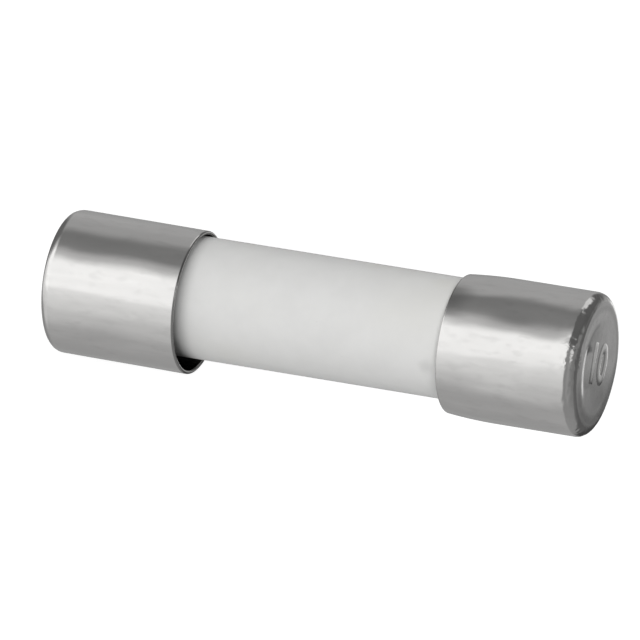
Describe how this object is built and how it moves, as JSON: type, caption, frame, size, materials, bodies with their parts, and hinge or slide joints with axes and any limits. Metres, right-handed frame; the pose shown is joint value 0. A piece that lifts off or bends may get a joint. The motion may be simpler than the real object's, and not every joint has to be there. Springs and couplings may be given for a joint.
{
  "type": "miniature cartridge fuse",
  "caption": "Miniature cartridge fuse: a round ceramic tube holding a fuse wire in sand, soldered into a drawn metal cap at each end.",
  "frame": {"origin": "middle of the lower cap's end face, which is the bottom of the standing fuse", "axes": "+Z along the fuse towards the upper cap; +X towards the side where the wire is folded over the tube's ends"},
  "size_m": [0.0052, 0.0052, 0.0203],
  "materials": {
    "nickel_plate": "satin",
    "ceramic": "satin",
    "fuse_wire": "satin",
    "solder": "satin",
    "sand": "matte"
  },
  "bodies": {
    "root": {"ceramic_tube": "ceramic", "fuse_wire": "fuse_wire", "sand_filling": "sand", "lower_solder": "solder", "upper_solder": "solder", "lower_end_cap": "nickel_plate", "upper_end_cap": "nickel_plate"}
  },
  "joints": []
}
